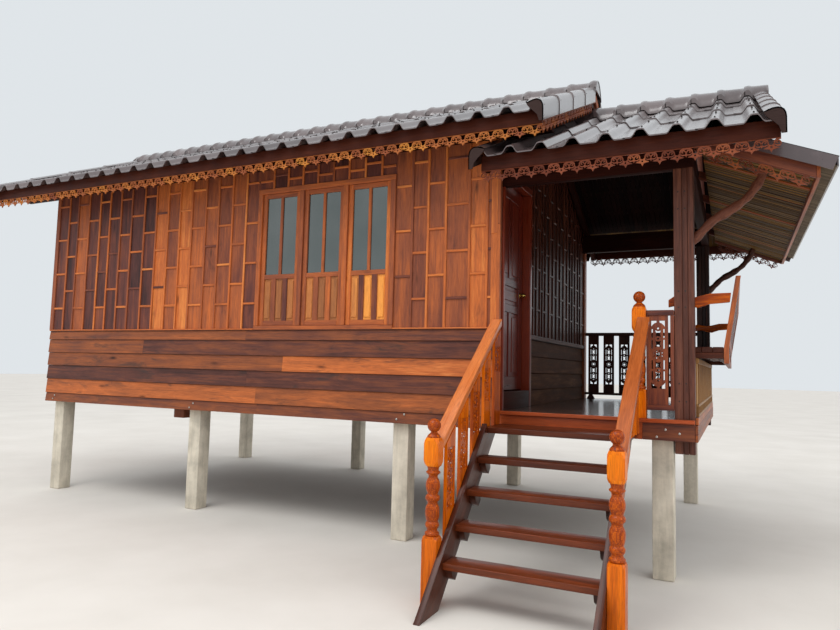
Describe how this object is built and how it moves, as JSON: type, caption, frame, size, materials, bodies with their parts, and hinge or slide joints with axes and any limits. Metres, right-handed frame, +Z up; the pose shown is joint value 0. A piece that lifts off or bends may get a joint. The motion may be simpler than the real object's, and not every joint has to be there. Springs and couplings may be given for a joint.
{
  "type": "stilt house",
  "caption": "Hardwood stilt house on square concrete posts: a panelled room, a covered porch with a bench and fretted rails, an open stair with turned newels, tiled gable roofs and a side awning.",
  "frame": {"origin": "the middle of the foot of the front left concrete post, on the ground", "axes": "+X along the front from the room to the porch, +Y from the front to the back, +Z up"},
  "size_m": [8.655, 5.5574, 4.5771],
  "materials": {
    "concrete": "matt cast concrete",
    "beam_timber": "dark varnished hardwood",
    "floor_boards": "glossy varnished boards",
    "wall_boards": "varnished lap boards of mixed tone",
    "wall_panels": "varnished panels and battens of mixed tone",
    "frame_timber": "varnished reddish orange hardwood",
    "glass": "clear",
    "door_timber": "dark red varnished hardwood",
    "brass": "polished",
    "hinge_steel": "plain steel",
    "roof_tile": "grey brown painted roof tile",
    "fascia_timber": "dark brown painted boards",
    "fret_timber": "varnished fret-cut boards",
    "branch_wood": "natural branch, varnished",
    "tread_timber": "dark red varnished treads",
    "newel_timber": "bright orange varnished turned wood"
  },
  "bodies": {
    "house": {"posts": "concrete", "wall_posts": "beam_timber", "girders": "beam_timber", "joists": "beam_timber", "rims_long": "beam_timber", "rims_end": "beam_timber", "room_floor": "floor_boards", "porch_floor": "floor_boards", "front_wall_lower": "wall_boards", "front_wall_sides": "wall_panels", "front_wall_head": "wall_panels", "left_wall": "wall_panels", "back_wall": "wall_panels", "right_wall_rear": "wall_panels", "right_wall_head": "wall_panels", "wall_plates": "beam_timber", "window_frame": "frame_timber", "window_leaves": "frame_timber", "window_glass": "glass", "door_frame": "frame_timber", "door_sill": "beam_timber", "hinge_pins": "hinge_steel", "porch_posts": "beam_timber", "porch_beams": "beam_timber", "porch_tie": "beam_timber", "porch_gable": "wall_panels", "rafters": "beam_timber", "porch_rafters": "beam_timber", "battens": "beam_timber", "main_roof": "roof_tile", "porch_roof": "roof_tile", "awning_roof": "roof_tile", "ridge_caps": "roof_tile", "verge_caps": "roof_tile", "awning_caps": "roof_tile", "fascias": "fascia_timber", "barge_boards": "fascia_timber", "fretwork": "fret_timber", "awning_frame": "beam_timber", "branch_brackets": "branch_wood", "stringers": "beam_timber", "treads": "tread_timber", "newels": "newel_timber", "handrails": "newel_timber", "stair_slats": "fret_timber", "porch_panel": "fret_timber", "back_railing": "fret_timber", "side_panel": "fret_timber", "bench_seat": "frame_timber", "bench_back": "frame_timber", "bench_arms": "frame_timber"},
    "door": {"door_leaf": "door_timber", "door_knobs": "brass", "hinge_sleeves": "hinge_steel"}
  },
  "joints": [
    {"name": "door_hinge", "type": "hinge", "parent": "house", "child": "door", "pos_m": [5.292, -0.006, 2.22], "axis": [0, 0, 1], "range_deg": [0, 90]}
  ]
}
